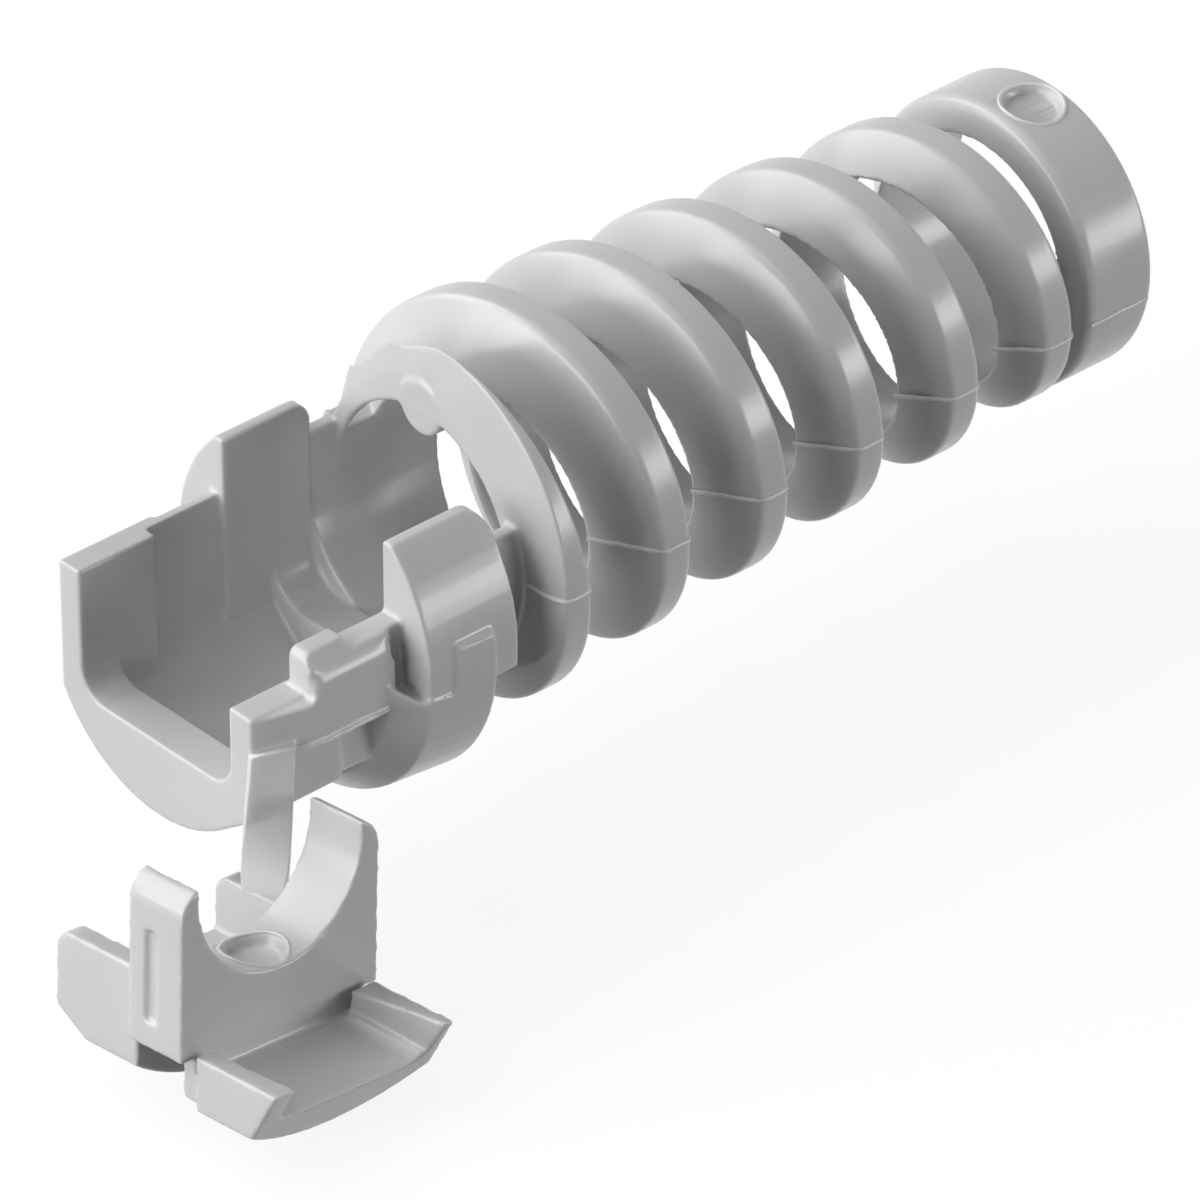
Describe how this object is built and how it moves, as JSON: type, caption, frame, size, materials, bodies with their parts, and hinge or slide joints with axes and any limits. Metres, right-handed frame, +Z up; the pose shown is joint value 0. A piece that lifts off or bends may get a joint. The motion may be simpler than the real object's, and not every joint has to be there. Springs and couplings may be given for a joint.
{
  "type": "strain relief bushing",
  "caption": "Snap-in cord bushing with a tapered helical bend-relief coil, an open clamping head with latch rail, and a clamping wedge hanging from a film strap.",
  "frame": {"origin": "on the bore axis, in the front plane of the flange's upper jaws, which stops against the panel", "axes": "+X along the cable from the head to the collar, +Z up out of the open side of the head, -Y towards the latch rail and the hanging wedge"},
  "size_m": [0.054, 0.0231, 0.0207],
  "materials": {
    "grey_nylon": "light grey moulded nylon, satin, with thin mould flash along the parting lines"
  },
  "bodies": {
    "root": {"strain_relief_bushing": "grey_nylon"}
  },
  "joints": []
}
